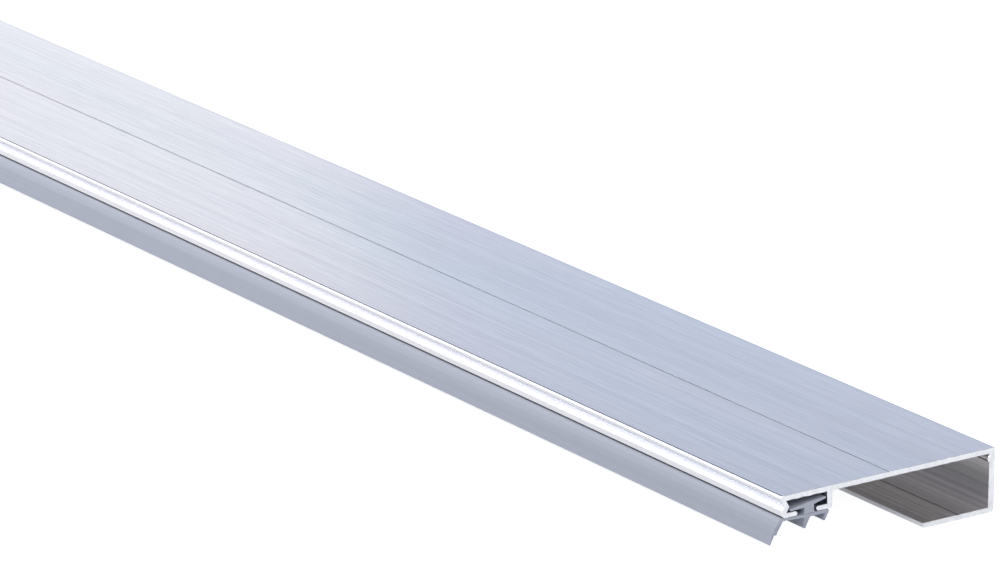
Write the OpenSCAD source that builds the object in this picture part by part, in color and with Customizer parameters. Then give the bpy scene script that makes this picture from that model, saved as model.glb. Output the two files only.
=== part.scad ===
// Aluminium sheet-edge cover profile with a clipped-in rubber seal strip.
//
// The section is drawn in the XZ plane, with X across the profile from the seal side to the wall
// side and Z up, and is extruded along Y. The origin is under the middle of the bounding box, at
// the level of the flange's underside. Sizes are in millimetres.

/* [Stock] */
// Length that the stock is cut to
stock_len = 2000; // [100:50:6000]
// Overall width of the aluminium profile
profile_w = 80; // [66:1:120]
// Overall height of the aluminium profile
profile_h = 21; // [17:0.5:40]

/* [Walls] */
// Thickness of the top plate
plate_t = 1.8; // [1.2:0.1:2.5]
// Thickness of the upright wall
wall_t = 2.2; // [1.4:0.1:3]
// Angle by which the upright wall leans in at its foot
wall_lean = 2.5; // [0:0.5:5]
// Thickness of the lower flange
flange_t = 1.8; // [1.2:0.1:2.5]
// Width of the lower flange, measured from the wall's outer foot
flange_w = 27; // [12:0.5:34]
// Radius of the plate's outer corner on the seal side
corner_r = 0.9; // [0.2:0.1:0.9]
// Radius of the outer corner between the plate and the upright wall
wall_corner_r = 0.4; // [0.2:0.1:0.9]
// Radius of the wall's foot and of the flange's lower edge
foot_r = 1.2; // [0.4:0.1:1.2]

/* [Grooves] */
// Width of each round drilling groove at the surface
groove_w = 0.8; // [0.6:0.1:1.4]
// Depth of each drilling groove
groove_depth = 0.15; // [0.15:0.05:0.3]

/* [Rib] */
// Radius of the round rib inside the upright wall
rib_r = 1.3; // [0.8:0.1:1.5]
// How far the rib stands out of the wall
rib_proud = 0.65; // [0.3:0.05:0.75]
// Gap between the plate and the rib
rib_gap = 0.4; // [0.2:0.1:1.5]

/* [Seal slot] */
// Clear width inside the slot
slot_w = 15; // [12:0.5:20]
// Clear height inside the slot, from the plate to the lips
slot_h = 3.9; // [3:0.1:6]
// Width of the slot's mouth between the two lips
mouth_w = 7; // [5.5:0.5:8]
// Thickness of the lips, which end in a full round
lip_t = 1.6; // [1.2:0.1:2.2]
// Thickness of the slot's outer side wall
slot_wall_t = 2; // [1.5:0.1:3]
// Thickness of the slot's inner side wall
slot_inner_t = 1.8; // [1.5:0.1:3]
// Radius of the corner under the slot's inner side wall
slot_corner_r = 0.9; // [0.3:0.1:1.4]
// Radius of the fillet between the slot and the plate, on the open side
slot_fillet_r = 1.6; // [0.5:0.1:3]
// Depth of the V that runs along the slot's outer wall
vee_depth = 1.1; // [0.4:0.1:1.3]
// Height of the V's long upper face
vee_rise = 2.4; // [1.5:0.1:2.8]
// Height of the V's short lower face
vee_fall = 0.9; // [0.6:0.1:1.2]
// Width of the bevel under the slot's outer corner
bevel_w = 1; // [0.4:0.1:1.4]

/* [Seal head and base] */
// Clearance between the seal and the lips that hold it
seal_clear = 0.1; // [0.05:0.05:0.3]
// Width of the neck that passes through the mouth
neck_w = 3.5; // [2.5:0.1:3.6]
// How far the neck sits to the wall side of the mouth's middle
neck_shift = 0.8; // [0:0.1:0.8]
// Radius of the fillets between the neck and the base
neck_fillet_r = 0.9; // [0.3:0.1:1]
// Thickness of the head beside the neck
head_t = 1.5; // [1:0.1:1.6]
// Height of the head's middle above the lips
head_rise = 1.25; // [1:0.05:1.6]
// Height of the inner wing's tip above the lips
wing_rise = 2.2; // [1.4:0.1:2.5]
// Gap between the outer wing's tip and the lip under it
wing_droop_gap = 0.3; // [0.1:0.1:0.6]
// Gap between the outer wing's tip and the slot's wall
outer_wing_gap = 1.3; // [0.6:0.1:1.6]
// Gap between the inner wing's tip and the slot's wall
inner_wing_gap = 0.5; // [0.3:0.1:1.5]
// Thickness of the wings at their tips
wing_tip_t = 0.64; // [0.4:0.04:0.8]
// Thickness of the base that lies under the lips
base_t = 1.1; // [0.8:0.1:1.6]
// Thickness of the web that carries the skirt
web_t = 0.65; // [0.4:0.05:0.8]

/* [Seal legs] */
// Drop of the middle leg below the lips
middle_leg_drop = 4.6; // [3:0.1:6]
// Thickness of the middle leg at its root
middle_leg_t = 2.2; // [1.4:0.1:2.8]
// How far the middle leg leans to the seal side
middle_leg_lean = 1.2; // [0:0.1:2.5]
// Drop of the inner leg below the lips
inner_leg_drop = 3.5; // [2.5:0.1:6]
// Thickness of the inner leg at its root
inner_leg_t = 1.1; // [1:0.1:1.6]
// How far the inner leg leans to the seal side
inner_leg_lean = 1.3; // [0:0.1:2.5]
// Thickness of both legs at their tips
leg_tip_t = 0.9; // [0.6:0.1:1]

/* [Seal skirt] */
// How far the skirt's tip hangs below the lips
skirt_drop = 7.5; // [5:0.1:9]
// How far the skirt's tip reaches out past the profile
skirt_reach = 4.6; // [4:0.2:6]
// How far the skirt's outer face bows out between its ends
skirt_bow = 0.15; // [0:0.05:0.4]
// Thickness of the skirt at its root
skirt_t = 1.5; // [1.2:0.1:1.8]
// Thickness of the skirt just above the step in its inner face
skirt_step_t = 1.3; // [1.1:0.1:1.5]
// Thickness of the skirt's lip just below the step
skirt_lip_t = 0.6; // [0.5:0.05:0.9]
// Thickness of the skirt's lip at its tip
skirt_tip_t = 0.5; // [0.3:0.05:0.6]

/* [Hidden] */

LEFT = [-1, 0];
RIGHT = [1, 0];
UP = [0, 1];
DOWN = [0, -1];
ARC_FN = 48;
SMALL_ARC_FN = 32;
OVERRUN = 1;
HAIR = 0.005;
SKIRT_STEPS = 10;
SKIRT_STEP_AT = 6;

// Section levels, measured down from the plate's upper face
lip_top_z = -plate_t - slot_h;
lip_bottom_z = lip_top_z - lip_t;
nose_r = lip_t / 2;
flange_top_z = -profile_h + flange_t;

// Section places across the profile, measured from the outer face of the seal side
slot_x0 = slot_wall_t;
slot_x1 = slot_wall_t + slot_w;
slot_outer_x = slot_x1 + slot_inner_t;
mouth_mid_x = (slot_x0 + slot_x1) / 2;
mouth_x0 = mouth_mid_x - mouth_w / 2;
mouth_x1 = mouth_mid_x + mouth_w / 2;
vee_mid_z = (lip_top_z - plate_t) / 2;

// The upright wall runs down along wall_dir; its outer face is at wall_x(z) at the height z
wall_dir = [-sin(wall_lean), -cos(wall_lean)];
function wall_x(z) = profile_w + z * tan(wall_lean);
wall_width = wall_t / cos(wall_lean);
foot_x = wall_x(-profile_h);
flange_x = foot_x - flange_w;

// Drilling grooves lie at the middle of the plate and of the flange
plate_groove_x = profile_w / 2;
flange_groove_x = foot_x - flange_w / 2;

// Seal levels and places
seal_top_z = lip_bottom_z - seal_clear;
base_mid_z = seal_top_z - base_t / 2;
neck_x = mouth_mid_x + neck_shift;
neck_x0 = neck_x - neck_w / 2;
neck_x1 = neck_x + neck_w / 2;

// The outer end of the base thins to the web where the slot begins
web_start = [slot_x0 + web_t, seal_top_z - web_t / 2];
web_end = [bevel_w / 2, seal_top_z - web_t / 2];

// The skirt hangs from the round root at skirt_root to the round tip at skirt_tip. Its outer face
// is one shallow curve, and its thickness is set off inwards from that face, with a step. The
// faces meet the two rounds a hair inside them.
skirt_root = [0, seal_top_z - 0.25];
skirt_tip = [-skirt_reach + skirt_tip_t / 2, lip_bottom_z - skirt_drop + skirt_tip_t / 2];
skirt_dir = (skirt_tip - skirt_root) / norm(skirt_tip - skirt_root);
skirt_out = [skirt_dir[1], -skirt_dir[0]];
skirt_face_top = skirt_root + (skirt_t / 2 - HAIR) * skirt_out;
skirt_face_end = skirt_tip + (skirt_tip_t / 2 - HAIR) * skirt_out;
function skirt_face(s) = skirt_face_top + s * (skirt_face_end - skirt_face_top)
    + 4 * skirt_bow * s * (1 - s) * skirt_out;
function skirt_back(s, t) = skirt_face(s) - (t - 2 * HAIR) * skirt_out;
function mix(a, b, share) = a + share * (b - a);

// Offset from the section's own frame to the frame at the middle of the bounding box
frame_x = (skirt_reach - profile_w) / 2;

// Stands the section drawing upright and extrudes it, centred along the length
module along_stock() {
    translate([frame_x, 0, profile_h])
        rotate([90, 0, 0])
            linear_extrude(stock_len, center = true)
                children();
}

// Rectangle between two opposite corners
module box2d(a, b) {
    translate([min(a[0], b[0]), min(a[1], b[1])])
        square([abs(b[0] - a[0]), abs(b[1] - a[1])]);
}

// Tapering arm with round ends: radius ra at point a, radius rb at point b. Its straight sides lie
// a hair inside the common tangents of the two ends, so that the outlines cross cleanly.
module arm(a, ra, b, rb) {
    reach = norm(b - a);
    along = atan2(b[1] - a[1], b[0] - a[0]);
    touch = acos((ra - rb) / reach);
    left = [cos(along + touch), sin(along + touch)];
    right = [cos(along - touch), sin(along - touch)];
    translate(a) circle(ra, $fn = SMALL_ARC_FN);
    translate(b) circle(rb, $fn = SMALL_ARC_FN);
    sa = ra - HAIR;
    sb = rb - HAIR;
    polygon([a + sa * right, b + sb * right, b + sb * left, a + sa * left]);
}

// Fillet in a square inner corner at the point p. It fills the side that the signs in side name.
module fillet(p, r, side) {
    difference() {
        box2d(p, p + r * side);
        translate(p + r * side) circle(r, $fn = ARC_FN);
    }
}

// Cutter that rounds an outer corner at the point p to the radius r. The unit vectors u and v
// point from the corner along its two faces.
module rounding(p, r, u, v) {
    half_angle = acos(u * v) / 2;
    span = r / tan(half_angle);
    centre = p + (u + v) / norm(u + v) * r / sin(half_angle);
    difference() {
        polygon([p + span * u, p - OVERRUN * (u + v), p + span * v]);
        translate(centre) circle(r, $fn = ARC_FN);
    }
}

// Round cutter for a drilling groove in an upward face at the height z
module drill_groove(x, z) {
    r = (pow(groove_w / 2, 2) + pow(groove_depth, 2)) / (2 * groove_depth);
    translate([x, z - groove_depth + r]) circle(r, $fn = SMALL_ARC_FN);
}

// Outline of the whole section, with square corners and square ends on the lips. It runs down the
// seal side, round the slot, along under the plate, round the flange and back up the wall.
module outline() {
    polygon([
        [0, 0], [0, vee_mid_z + vee_rise], [vee_depth, vee_mid_z], [0, vee_mid_z - vee_fall],
        [0, lip_bottom_z + bevel_w], [bevel_w, lip_bottom_z],
        [mouth_x0 - nose_r, lip_bottom_z], [mouth_x0 - nose_r, lip_top_z],
        [slot_x0, lip_top_z], [slot_x0 + vee_depth, vee_mid_z], [slot_x0, -plate_t],
        [slot_x1, -plate_t], [slot_x1, lip_top_z],
        [mouth_x1 + nose_r, lip_top_z], [mouth_x1 + nose_r, lip_bottom_z],
        [slot_outer_x, lip_bottom_z], [slot_outer_x, -plate_t],
        [wall_x(-plate_t) - wall_width, -plate_t], [wall_x(flange_top_z) - wall_width, flange_top_z],
        [flange_x, flange_top_z], [flange_x, -profile_h], [foot_x, -profile_h], [profile_w, 0]
    ]);
}

// Round rib inside the upright wall, just under the plate
module rib() {
    rib_z = -plate_t - rib_gap - rib_r;
    translate([wall_x(rib_z) - wall_width - rib_proud + rib_r, rib_z])
        circle(rib_r, $fn = ARC_FN);
}

// Round noses of the two lips
module lip_noses() {
    for (x = [mouth_x0 - nose_r, mouth_x1 + nose_r])
        translate([x, lip_bottom_z + nose_r])
            circle(nose_r, $fn = ARC_FN);
}

// Cutters for the rounded outer corners
module corner_cuts() {
    rounding([0, 0], corner_r, RIGHT, DOWN);
    rounding([profile_w, 0], wall_corner_r, LEFT, wall_dir);
    rounding([foot_x, -profile_h], foot_r, LEFT, -wall_dir);
    rounding([flange_x, -profile_h], foot_r, RIGHT, UP);
    rounding([slot_outer_x, lip_bottom_z], slot_corner_r, LEFT, UP);
}

// Extruded aluminium profile, one piece
module cover_profile() {
    color("lightsteelblue")
        along_stock()
            union() {
                difference() {
                    outline();
                    drill_groove(plate_groove_x, 0);
                    drill_groove(flange_groove_x, flange_top_z);
                    corner_cuts();
                }
                rib();
                lip_noses();
                fillet([slot_outer_x, -plate_t], slot_fillet_r, [1, -1]);
            }
}

// Neck and head inside the slot: the outer wing droops on to its lip and the inner wing lifts
module seal_head() {
    tip_r = wing_tip_t / 2;
    middle = [neck_x, lip_top_z + head_rise];
    outer_tip = [slot_x0 + outer_wing_gap + tip_r, lip_top_z + wing_droop_gap + tip_r];
    inner_tip = [slot_x1 - inner_wing_gap - tip_r, lip_top_z + wing_rise];
    arm(middle, head_t / 2, outer_tip, tip_r);
    arm(middle, head_t / 2, inner_tip, tip_r);
    box2d([neck_x0, middle[1]], [neck_x1, base_mid_z]);
    fillet([neck_x0, seal_top_z], neck_fillet_r, [-1, 1]);
    fillet([neck_x1, seal_top_z], neck_fillet_r, [1, 1]);
}

// Base under the two lips, and the web that joins it to the skirt
module seal_base() {
    base_r = base_t / 2;
    web_r = web_t / 2;
    arm([neck_x0, base_mid_z], base_r, web_start, web_r);
    arm([neck_x0, base_mid_z], base_r, [slot_x1, base_mid_z], base_r);
    arm(web_start, web_r, web_end, web_r);
}

// Leg under the base at root_x, which leans towards the seal side as it drops
module seal_leg(root_x, root_t, lean, drop) {
    tip_r = leg_tip_t / 2;
    arm([root_x, base_mid_z], root_t / 2, [root_x - lean, lip_bottom_z - drop + tip_r], tip_r);
}

// Skirt that hangs outside the profile: a thick body, then a thinner lip below the step
module seal_skirt() {
    n = SKIRT_STEPS;
    k = SKIRT_STEP_AT;
    polygon(concat(
        [for (i = [0:n]) skirt_face(i / n)],
        [for (i = [n:-1:k]) skirt_back(i / n, mix(skirt_lip_t, skirt_tip_t, (i - k) / (n - k)))],
        [for (i = [k:-1:0]) skirt_back(i / n, mix(skirt_t, skirt_step_t, i / k))]
    ));
    translate(skirt_root) circle(skirt_t / 2, $fn = SMALL_ARC_FN);
    translate(skirt_tip) circle(skirt_tip_t / 2, $fn = SMALL_ARC_FN);
}

// Space round the slot's outer corner and its two lips that the seal leaves free
module lip_space() {
    top_z = lip_top_z + seal_clear;
    bevel_shift = seal_clear * tan(22.5);
    polygon([
        [-seal_clear, 0], [-seal_clear, lip_bottom_z + bevel_w - bevel_shift],
        [bevel_w - bevel_shift, seal_top_z], [mouth_x0 - nose_r, seal_top_z],
        [mouth_x0 - nose_r, top_z], [slot_x0, top_z], [slot_x0, 0]
    ]);
    box2d([mouth_x1 + nose_r, seal_top_z], [slot_outer_x + seal_clear, top_z]);
}

// Extruded rubber seal, one piece
module seal_strip() {
    color("slategray")
        along_stock()
            difference() {
                union() {
                    seal_head();
                    seal_base();
                    seal_leg(neck_x0 + middle_leg_t / 2, middle_leg_t, middle_leg_lean, middle_leg_drop);
                    seal_leg(slot_x1, inner_leg_t, inner_leg_lean, inner_leg_drop);
                    seal_skirt();
                }
                lip_space();
            }
}

cover_profile();
seal_strip();
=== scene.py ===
"""Looks of a sheet-edge cover profile: mill-finish aluminium with a grey rubber seal in its slot.

Everything is in metres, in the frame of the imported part: X runs across the profile from the seal
side to the upright wall, Y along the stock, Z up. Both pieces are extruded from the section that
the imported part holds, so their shape is the part's own.
"""
import math
import random

import bmesh
import bpy
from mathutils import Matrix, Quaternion, Vector


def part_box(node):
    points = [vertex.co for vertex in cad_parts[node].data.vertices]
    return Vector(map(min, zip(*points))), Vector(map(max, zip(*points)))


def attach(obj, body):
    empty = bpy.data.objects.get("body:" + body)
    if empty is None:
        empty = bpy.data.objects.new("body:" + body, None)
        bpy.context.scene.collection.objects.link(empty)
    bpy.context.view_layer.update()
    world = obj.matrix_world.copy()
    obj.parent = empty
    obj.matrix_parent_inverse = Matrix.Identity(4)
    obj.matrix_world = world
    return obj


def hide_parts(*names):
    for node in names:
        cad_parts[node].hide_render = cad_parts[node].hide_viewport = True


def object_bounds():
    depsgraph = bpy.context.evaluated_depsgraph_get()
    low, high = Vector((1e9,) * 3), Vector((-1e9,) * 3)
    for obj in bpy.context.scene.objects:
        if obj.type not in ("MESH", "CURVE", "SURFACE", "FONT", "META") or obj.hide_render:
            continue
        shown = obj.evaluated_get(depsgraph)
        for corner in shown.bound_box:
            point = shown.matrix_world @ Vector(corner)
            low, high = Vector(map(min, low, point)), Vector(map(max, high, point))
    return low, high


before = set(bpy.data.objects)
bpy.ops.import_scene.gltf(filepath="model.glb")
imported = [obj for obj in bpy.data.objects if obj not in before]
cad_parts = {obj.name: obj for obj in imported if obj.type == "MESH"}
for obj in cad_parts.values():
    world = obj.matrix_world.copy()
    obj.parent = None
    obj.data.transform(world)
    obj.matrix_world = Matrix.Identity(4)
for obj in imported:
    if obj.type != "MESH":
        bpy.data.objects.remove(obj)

CAD_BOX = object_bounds()
PROFILE_LOW, PROFILE_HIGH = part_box("cover_profile")
SEAL_LOW, SEAL_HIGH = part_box("seal_strip")

# Camera: the point that it looks at lies on the plate, this far from the seal side and the near end
AIM_ACROSS = 0.0467
AIM_ALONG = 0.2362
VIEW_AZIMUTH = math.radians(31.383)
VIEW_ELEVATION = math.radians(16.932)
VIEW_ROLL = math.radians(-1.690)
VIEW_DISTANCE = 2.2779
VIEW_REACH = 100
LENS_MM = 245.18

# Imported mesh: corners this near are one point, and the near end is this deep
SAME_POINT = 1e-6
END_DEPTH = 1e-5

# Sawn ends: mean width of the deburred edge, how uneven it is, and the spacing of its points
METAL_DEBUR = 0.00012
METAL_RAGGED = 0.00006
RUBBER_DEBUR = 0.00004
RUBBER_RAGGED = 0.00002
EDGE_STEP = 0.0006
SHARP_ANGLE = math.radians(28)
# The unevenness is a sum of waves round the edge, over WAVE_PEAK, which it mostly stays under
WAVES = 14
FEWEST_WAVES_ROUND = 8
FEWEST_POINTS_A_WAVE = 6
WAVE_PEAK = 4
# Least divisor of a corner's move inwards, so that the points of sharp corners don't move too far
MITER_FLOOR = 0.5

# Aluminium: how its patterns are drawn out along the stock, how fine they are per metre, and the
# weights of bands and lines in the streaks
DIE_LINES = (1, 0.0004, 1)
BROKEN_LINES = (1, 0.02, 1)
HUE_PATCHES = (1, 0.12, 1)
BAND_SCALE = 90
DIE_LINE_SCALE = 1150
BROKEN_LINE_SCALE = 2200
HUE_SCALE = 38
BAND_WEIGHT = 0.16
LINE_WEIGHT = 0.42
# Saw marks on the ends: their stretch across the section, their slant and how fine they are
SAW_LINES = (1, 1, 0.5)
SAW_SLANT = math.radians(38)
SAW_SCALE = 620
# Where the surface faces this much along the stock, it is a sawn end
END_FACING = 0.9
# Noise gathers round 0.5, so each of these ranges is spread over a whole pair of colours
STREAK_RANGE = (0.36, 0.64)
HUE_RANGE = (0.35, 0.65)
SAW_RANGE = (0.38, 0.60)
CHANNEL_RANGE = (0.40, 0.68)
METAL_SHADE = ((0.755, 0.745, 0.785, 1), (0.73, 0.755, 0.79, 1))
METAL_LIGHT = ((0.85, 0.835, 0.865, 1), (0.82, 0.845, 0.87, 1))
# Painted light: the channel's inner faces are painted warmer and lighter than the drawn metal, to stand
# in for the light inside the channel
CHANNEL_PAINTED_COLOURS = ((0.76, 0.74, 0.745, 1), (0.96, 0.935, 0.94, 1))
SAWN_COLOURS = ((0.85, 0.85, 0.865, 1), (0.98, 0.98, 0.985, 1))
METAL_ROUGHNESS = (0.27, 0.22)
SAWN_ADDED_ROUGHNESS = 0.25
METAL_RELIEF = 0.10
# The channel's inner faces, which get painted light (a warmer, lighter copy of the metal colour): the
# middle and the half size of the space that holds them
CHANNEL_ACROSS = (PROFILE_HIGH.x - 0.0150, 0.0127)
CHANNEL_HEIGHT = (PROFILE_HIGH.z / 2, 0.0090)

# Rubber: lines from the die, a cloudy skin and a fine grain
RUBBER_LINES = (1, 0.002, 1)
RUBBER_LINE_SCALE = 700
RUBBER_CLOUD_SCALE = 90
RUBBER_GRAIN_SCALE = 5200
LINE_SHARE = 0.6
CLOUD_SHARE = 0.4
GRAIN_SHARE = 0.25
RUBBER_RANGE = (0.35, 0.65)
CLOUD_RANGE = (0.3, 0.7)
RUBBER_COLOURS = ((0.26, 0.275, 0.325, 1), (0.31, 0.325, 0.375, 1))
RUBBER_ROUGHNESS = (0.50, 0.62)
RUBBER_RELIEF = 0.15
# Painted light: it is painted paler towards its top, where it faces the light more, between these shares
# of its height
TOP_LIGHT_COLOUR = (0.60, 0.62, 0.66, 1)
TOP_LIGHT_AMOUNT = 0.25
TOP_LIGHT_START = 0.40
TOP_LIGHT_FULL = 0.65

# Depth of the bump patterns
RELIEF_DEPTH = 0.0002

# Floor: its own glow lights the part, and the lift, which only the camera sees, makes shadows faint
FLOOR_HALF = 30.0
FLOOR_CLOUD_SCALE = 1.5
FLOOR_COLOURS = ((0.76, 0.75, 0.73, 1), (0.78, 0.77, 0.75, 1))
FLOOR_GLOW = 0.22
SHADOW_LIFT = 0.60

# Studio: the room's colour at each height of view, from 0 at the horizon to 1 overhead
ROOM_STOPS = [
    (0.00, (0.80, 0.875, 1.03, 1)),
    (0.33, (0.80, 0.875, 1.03, 1)),
    (0.45, (0.70, 0.74, 0.84, 1)),
    (0.80, (0.60, 0.61, 0.64, 1)),
]
# A dim stretch of wall past the far end, which draws the dark line along the plate's seal-side edge:
# where its middle is, and the angles to each side of that and the heights over which it fades
DIM_COLOUR = (0.12, 0.14, 0.21, 1)
DIM_AZIMUTH = math.radians(24)
DIM_SIDE_FADE = (math.radians(30), math.radians(42))
DIM_FOOT_FADE = (0.34, 0.42)
DIM_TOP_FADE = (0.66, 0.76)

WHITE_LIGHT = (1, 1, 1)
WARM_LIGHT = (1.0, 0.83, 0.54)


# ---------------------------------------------------------------- geometry

def section_of(node):
    """The outline of a node's near end, as (x, z) points in order, with the solid on the left."""
    mesh = bmesh.new()
    mesh.from_mesh(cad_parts[node].data)
    bmesh.ops.remove_doubles(mesh, verts=mesh.verts, dist=SAME_POINT)
    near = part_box(node)[0].y + END_DEPTH

    def at_end(item):
        return all(v.co.y < near for v in item.verts)

    following = {}
    for face in mesh.faces:
        if not at_end(face):
            continue
        for loop in face.loops:
            if any(not at_end(other) for other in loop.edge.link_faces):
                following[loop.vert.index] = loop.link_loop_next.vert.index
    mesh.verts.ensure_lookup_table()
    start = min(following)
    order = [start]
    while following[order[-1]] != start:
        order.append(following[order[-1]])
    points = [Vector((mesh.verts[i].co.x, mesh.verts[i].co.z)) for i in order]
    mesh.free()
    return points


def divided(points, step):
    """The same outline with points added, so that none of its sides is longer than step."""
    result = []
    for a, b in zip(points, points[1:] + points[:1]):
        count = max(1, math.ceil((b - a).length / step))
        result += [a.lerp(b, i / count) for i in range(count)]
    return result


def inset(points, widths):
    """The outline moved inwards at each point by its own width."""
    result = []
    count = len(points)
    for i, point in enumerate(points):
        before = (point - points[i - 1]).normalized()
        after = (points[(i + 1) % count] - point).normalized()
        inward_a = Vector((-before.y, before.x))
        inward_b = Vector((-after.y, after.x))
        miter = (inward_a + inward_b) / max(MITER_FLOOR, 1 + inward_a.dot(inward_b))
        result.append(point + miter * widths[i])
    return result


def uneven_widths(count, mean, spread, seed):
    """Widths that wander smoothly round the mean, and end where they began."""
    draw = random.Random(seed)
    most_round = count // FEWEST_POINTS_A_WAVE
    waves = [(draw.randint(FEWEST_WAVES_ROUND, most_round), draw.uniform(0, math.tau))
             for _ in range(WAVES)]
    return [mean + spread * sum(math.sin(math.tau * f * i / count + p) for f, p in waves) / WAVE_PEAK
            for i in range(count)]


def sawn_length(name, node, debur, ragged, seed):
    """Stock of the node's section and length, sawn square, with its cut edges lightly deburred."""
    low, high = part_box(node)
    outline = divided(section_of(node), EDGE_STEP)
    count = len(outline)
    rings = []
    for end_y, inward, offset in ((low.y, 1, 0), (high.y, -1, 1)):
        widths = uneven_widths(count, debur, ragged, seed + offset)
        face_ring = [(p.x, end_y, p.y) for p in inset(outline, widths)]
        side_ring = [(p.x, end_y + inward * w, p.y) for p, w in zip(outline, widths)]
        rings.append((face_ring, side_ring))
    (near_face, near_side), (far_face, far_side) = rings
    vertices = near_face + near_side + far_side + far_face
    near_cap = tuple(range(count))
    far_cap = tuple(reversed(range(3 * count, 4 * count)))
    faces = [near_cap, far_cap]
    for ring in range(3):
        for i in range(count):
            j = (i + 1) % count
            a, b = ring * count + i, ring * count + j
            faces.append((b, a, a + count, b + count))
    mesh = bpy.data.meshes.new(name)
    mesh.from_pydata(vertices, [], faces)
    mesh.validate()
    mesh.shade_smooth()
    mesh.set_sharp_from_angle(angle=SHARP_ANGLE)
    piece = bpy.data.objects.new(name, mesh)
    bpy.context.scene.collection.objects.link(piece)
    return piece


# ---------------------------------------------------------------- materials

class Nodes:
    """Short calls that build a node tree."""

    def __init__(self, tree):
        self.tree = tree

    def add(self, kind, inputs=None, **settings):
        """Adds a node. An input is a number or colour, or the socket that feeds it."""
        node = self.tree.nodes.new("ShaderNode" + kind)
        for key, value in settings.items():
            setattr(node, key, value)
        self.feed(node, inputs or {})
        return node

    def feed(self, node, inputs):
        """Sets or links a node's inputs, which are given by name or number."""
        for key, value in inputs.items():
            if isinstance(value, bpy.types.NodeSocket):
                self.tree.links.new(value, node.inputs[key])
            else:
                node.inputs[key].default_value = value

    def math(self, operation, *values):
        return self.add("Math", dict(enumerate(values)), operation=operation).outputs[0]

    def noise(self, where, scale, detail=2.0, roughness=0.5):
        inputs = {"Vector": where, "Scale": scale, "Detail": detail, "Roughness": roughness}
        return self.add("TexNoise", inputs).outputs["Fac"]

    def stretched(self, where, factors):
        """The place with each axis scaled by its own factor."""
        return self.add("Mapping", {"Vector": where, "Scale": factors}).outputs[0]

    def spread(self, value, low, high, to_low=0.0, to_high=1.0):
        """The value's range from low to high, spread over to_low to to_high and cut off past them."""
        inputs = {"Value": value, "From Min": low, "From Max": high, "To Min": to_low, "To Max": to_high}
        return self.add("MapRange", inputs).outputs[0]

    def blend(self, factor, first, second):
        # A Mix node's sockets go by number, because those of its data types share their names
        colours = {0: factor, 6: first, 7: second}
        return self.add("Mix", colours, data_type="RGBA").outputs[2]


def new_material(name):
    """A material, the helper for its node tree, and its shader node."""
    material = bpy.data.materials.new(name)
    material.use_nodes = True
    return material, Nodes(material.node_tree), material.node_tree.nodes["Principled BSDF"]


def aluminium():
    """Mill finish: fine die lines along the stock, in bands, and bright saw marks on the ends, with
    painted light in the channel, whose inner faces get a warmer, lighter colour.
    """
    material, n, surface = new_material("aluminium_mill_finish")
    coords = n.add("TexCoord")
    place = coords.outputs["Object"]
    facing = n.add("SeparateXYZ", {"Vector": coords.outputs["Normal"]})
    sawn = n.math("GREATER_THAN", n.math("ABSOLUTE", facing.outputs["Y"]), END_FACING)
    spot = n.add("SeparateXYZ", {"Vector": place})
    inside = n.math("MULTIPLY", n.math("COMPARE", spot.outputs["X"], *CHANNEL_ACROSS),
                    n.math("COMPARE", spot.outputs["Z"], *CHANNEL_HEIGHT))

    drawn_path = n.stretched(place, DIE_LINES)
    bands = n.noise(drawn_path, BAND_SCALE, detail=1.0)
    lines = n.noise(drawn_path, DIE_LINE_SCALE, roughness=0.6)
    broken = n.noise(n.stretched(place, BROKEN_LINES), BROKEN_LINE_SCALE, roughness=0.6)
    streaks = n.math("MULTIPLY_ADD", lines, LINE_WEIGHT, n.math("MULTIPLY", bands, BAND_WEIGHT))
    streaks = n.math("MULTIPLY_ADD", broken, LINE_WEIGHT, streaks)
    tone = n.spread(streaks, *STREAK_RANGE)
    hue = n.spread(n.noise(n.stretched(place, HUE_PATCHES), HUE_SCALE), *HUE_RANGE)

    saw_path = n.add("Mapping", {"Vector": place, "Rotation": (0, SAW_SLANT, 0), "Scale": SAW_LINES})
    saw_marks = n.noise(saw_path.outputs[0], SAW_SCALE, detail=4.0, roughness=0.65)
    saw_tone = n.spread(saw_marks, *SAW_RANGE)

    drawn = n.blend(tone, n.blend(hue, *METAL_SHADE), n.blend(hue, *METAL_LIGHT))
    # Painted light in the channel: its inner faces get their own warmer, lighter colour
    channel_painted_light = n.blend(n.spread(lines, *CHANNEL_RANGE), *CHANNEL_PAINTED_COLOURS)
    cut = n.blend(saw_tone, *SAWN_COLOURS)
    colour = n.blend(sawn, n.blend(inside, drawn, channel_painted_light), cut)
    rough = n.math("MULTIPLY_ADD", sawn, SAWN_ADDED_ROUGHNESS, n.spread(tone, 0, 1, *METAL_ROUGHNESS))

    drawn_relief = n.math("MULTIPLY", streaks, n.math("SUBTRACT", 1.0, sawn))
    relief = n.math("MULTIPLY_ADD", saw_marks, sawn, drawn_relief)
    bump = n.add("Bump", {"Strength": METAL_RELIEF, "Distance": RELIEF_DEPTH, "Height": relief})

    n.feed(surface, {"Base Color": colour, "Metallic": 1.0, "Roughness": rough,
                     "Normal": bump.outputs[0]})
    return material


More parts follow.
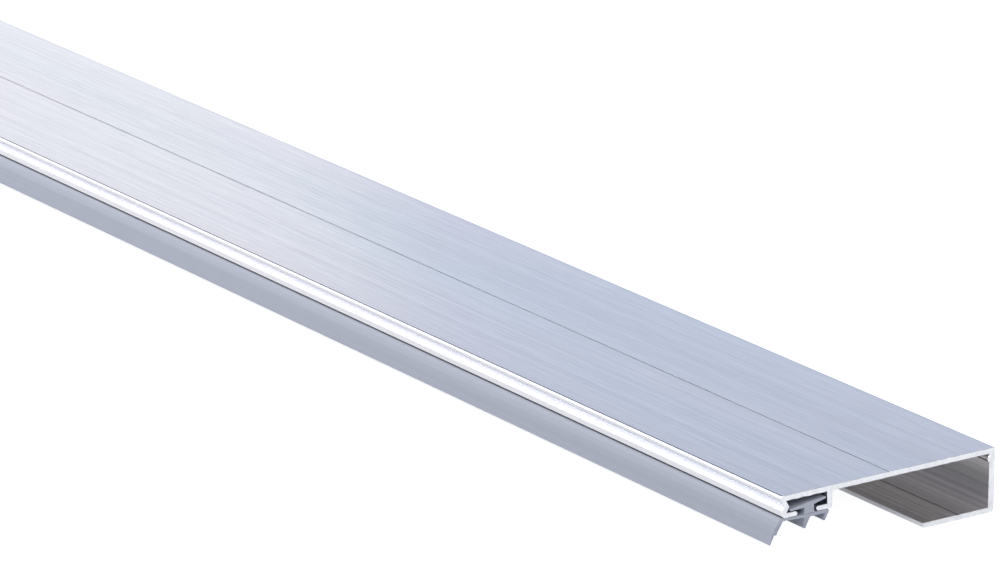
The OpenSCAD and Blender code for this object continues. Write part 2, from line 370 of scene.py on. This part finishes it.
def rubber():
    """Matt grey rubber with faint lines from the die and a slightly mottled skin, painted paler towards
    its top as painted light.
    """
    material, n, surface = new_material("rubber_grey")
    place = n.add("TexCoord").outputs["Object"]
    lines = n.noise(n.stretched(place, RUBBER_LINES), RUBBER_LINE_SCALE, roughness=0.6)
    cloud = n.noise(place, RUBBER_CLOUD_SCALE, detail=3.0, roughness=0.55)
    grain = n.noise(place, RUBBER_GRAIN_SCALE, roughness=0.6)
    tone = n.math("MULTIPLY_ADD", lines, LINE_SHARE, n.math("MULTIPLY", cloud, CLOUD_SHARE))
    height = n.add("SeparateXYZ", {"Vector": place}).outputs["Z"]
    seal_height = SEAL_HIGH.z - SEAL_LOW.z
    top_light_foot = SEAL_LOW.z + TOP_LIGHT_START * seal_height
    top_light_full_height = SEAL_LOW.z + TOP_LIGHT_FULL * seal_height
    # Painted light: the rubber's colour is made paler towards its top
    painted_top_light = n.spread(height, top_light_foot, top_light_full_height)
    colour = n.blend(n.spread(tone, *RUBBER_RANGE), *RUBBER_COLOURS)
    colour = n.blend(n.math("MULTIPLY", painted_top_light, TOP_LIGHT_AMOUNT), colour, TOP_LIGHT_COLOUR)
    rough = n.spread(cloud, *CLOUD_RANGE, *RUBBER_ROUGHNESS)
    relief = n.math("MULTIPLY_ADD", grain, GRAIN_SHARE, lines)
    bump = n.add("Bump", {"Strength": RUBBER_RELIEF, "Distance": RELIEF_DEPTH, "Height": relief})
    n.feed(surface, {"Base Color": colour, "Roughness": rough, "Normal": bump.outputs[0],
                     "Specular IOR Level": 0.5})
    return material


def floor_paint():
    """Plain pale floor that glows a little, like the top of a light table."""
    material, n, surface = new_material("pale_floor")
    place = n.add("TexCoord").outputs["Object"]
    seen = n.add("LightPath").outputs["Is Camera Ray"]
    n.feed(surface, {"Base Color": n.blend(n.noise(place, FLOOR_CLOUD_SCALE), *FLOOR_COLOURS),
                     "Roughness": 0.9, "Specular IOR Level": 0.0, "Emission Color": (1, 1, 1, 1),
                     "Emission Strength": n.math("MULTIPLY_ADD", seen, SHADOW_LIFT, FLOOR_GLOW)})
    return material


# ---------------------------------------------------------------- pieces

def add_piece(name, node, material, debur, ragged, seed):
    """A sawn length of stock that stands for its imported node."""
    piece = sawn_length(name, node, debur, ragged, seed)
    piece.data.materials.append(material)
    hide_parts(node)
    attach(piece, "root")


# ---------------------------------------------------------------- stage

def add_floor():
    """A wide flat floor at the level that the part stands on."""
    mesh = bpy.data.meshes.new("floor")
    corners = [(x * FLOOR_HALF, y * FLOOR_HALF, 0) for x, y in ((-1, -1), (1, -1), (1, 1), (-1, 1))]
    mesh.from_pydata(corners, [], [(0, 1, 2, 3)])
    mesh.materials.append(floor_paint())
    floor = bpy.data.objects.new("floor", mesh)
    floor.location.z = CAD_BOX[0].z
    bpy.context.scene.collection.objects.link(floor)


def add_softbox(name, place, aim, size, power, colour=WHITE_LIGHT):
    """A soft rectangular light at place that faces the point aim."""
    light = bpy.data.lights.new(name, "AREA")
    light.shape = "RECTANGLE"
    light.size, light.size_y = size
    light.energy = power
    light.color = colour
    box = bpy.data.objects.new(name, light)
    box.location = place
    box.rotation_mode = "QUATERNION"
    box.rotation_quaternion = (aim - place).to_track_quat("-Z", "Y")
    box.visible_camera = False
    bpy.context.scene.collection.objects.link(box)


def add_lights():
    """Two lights on the seal side, a key light above the camera, and a warm one past the far end."""
    near_end = Vector((0, PROFILE_LOW.y, 0))
    far_end = Vector((0, PROFILE_HIGH.y, 0))
    add_softbox("back_left", place=near_end + Vector((-0.95, 1.9, 0.9)), aim=near_end,
                size=(1.3, 1.7), power=8)
    add_softbox("key", place=near_end + Vector((-1.0, -1.6, 2.3)), aim=near_end,
                size=(1.8, 1.8), power=26)
    add_softbox("left", place=near_end + Vector((-0.9, 1.0, 0.6)), aim=near_end + Vector((0, 0.5, 0)),
                size=(0.9, 0.6), power=4)
    past_far_end = far_end + Vector((0.415, 0.3, 0.5))
    add_softbox("far", place=past_far_end, aim=past_far_end - Vector((0, 1, 0)),
                size=(1.5, 1.0), power=1.5, colour=WARM_LIGHT)


def add_world():
    """A pale room: light blue all round, greyer overhead, with one dim stretch of wall."""
    world = bpy.data.worlds.new("studio")
    world.use_nodes = True
    n = Nodes(world.node_tree)
    direction = n.add("SeparateXYZ", {"Vector": n.add("TexCoord").outputs["Generated"]})
    height = direction.outputs["Z"]
    ramp = n.add("ValToRGB", {"Fac": height})
    stops = ramp.color_ramp.elements
    stops[0].position, stops[0].color = ROOM_STOPS[0]
    stops[1].position, stops[1].color = ROOM_STOPS[-1]
    for position, colour in ROOM_STOPS[1:-1]:
        stops.new(position).color = colour
    azimuth = n.math("ARCTAN2", direction.outputs["X"], direction.outputs["Y"])
    beside = n.math("ABSOLUTE", n.math("SUBTRACT", azimuth, DIM_AZIMUTH))
    near_middle = n.spread(beside, *DIM_SIDE_FADE, 1.0, 0.0)
    over_foot = n.spread(height, *DIM_FOOT_FADE)
    under_top = n.spread(height, *DIM_TOP_FADE, 1.0, 0.0)
    dim = n.math("MULTIPLY", near_middle, n.math("MULTIPLY", over_foot, under_top))
    colour = n.blend(dim, ramp.outputs["Color"], DIM_COLOUR)
    n.feed(world.node_tree.nodes["Background"], {"Color": colour, "Strength": 1.0})
    bpy.context.scene.world = world


def add_camera():
    """The camera, with a long lens, above the seal side and in front of the near end."""
    aim = Vector((PROFILE_LOW.x + AIM_ACROSS, PROFILE_LOW.y + AIM_ALONG, PROFILE_HIGH.z))
    forward = Vector((math.sin(VIEW_AZIMUTH) * math.cos(VIEW_ELEVATION),
                      math.cos(VIEW_AZIMUTH) * math.cos(VIEW_ELEVATION), -math.sin(VIEW_ELEVATION)))
    camera = bpy.data.objects.new("camera", bpy.data.cameras.new("camera"))
    camera.data.lens = LENS_MM
    camera.data.clip_end = VIEW_REACH
    camera.rotation_mode = "QUATERNION"
    roll = Quaternion((0, 0, 1), VIEW_ROLL)
    camera.rotation_quaternion = forward.to_track_quat("-Z", "Y") @ roll
    camera.location = aim - forward * VIEW_DISTANCE
    bpy.context.scene.collection.objects.link(camera)
    bpy.context.scene.camera = camera


add_camera()
add_piece("aluminium_profile", "cover_profile", aluminium(),
          METAL_DEBUR, METAL_RAGGED, seed=11)
add_piece("rubber_seal", "seal_strip", rubber(),
          RUBBER_DEBUR, RUBBER_RAGGED, seed=23)
add_floor()
add_world()
add_lights()
bpy.context.scene.view_settings.view_transform = "Standard"
